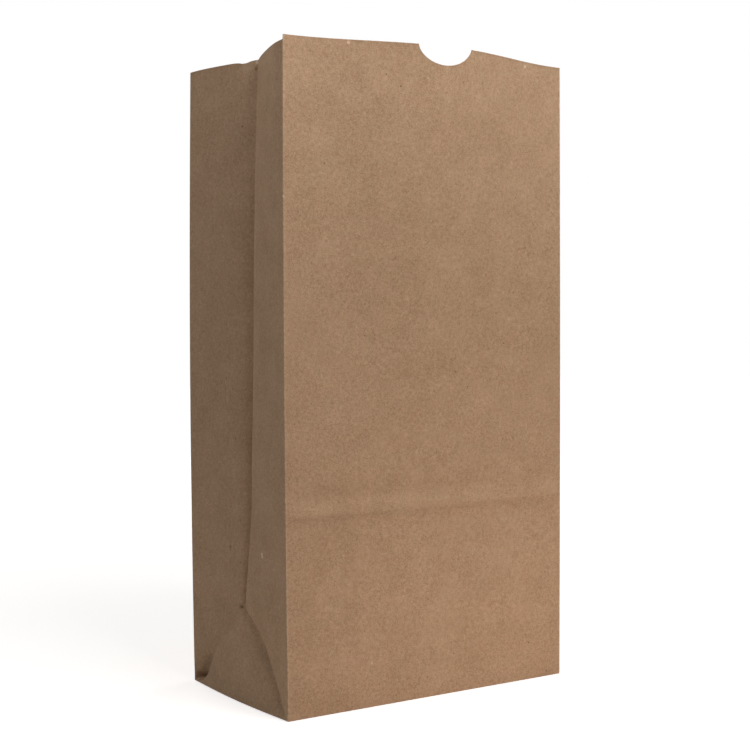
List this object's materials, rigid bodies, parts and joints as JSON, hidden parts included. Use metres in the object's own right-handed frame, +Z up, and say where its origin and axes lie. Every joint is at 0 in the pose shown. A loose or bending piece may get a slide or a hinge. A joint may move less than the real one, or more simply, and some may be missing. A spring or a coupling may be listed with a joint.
{
  "type": "paper lunch bag",
  "caption": "Open brown kraft paper bag with a flat glued base, tucked side gussets, corner folds and a round thumb notch in the front lip, for carrying food.",
  "frame": {"origin": "centre of the flat base, on the underside of the glued flap that the bag stands on", "axes": "+Z up from the base to the open mouth, +Y from the notched front panel to the back panel, +X to the right seen from the front"},
  "size_m": [0.127, 0.0912, 0.245],
  "materials": {
    "kraft_paper": "uncoated natural kraft, matt, with fine fibres and flecks"
  },
  "bodies": {
    "root": {"paper_bag": "kraft_paper"}
  },
  "joints": []
}
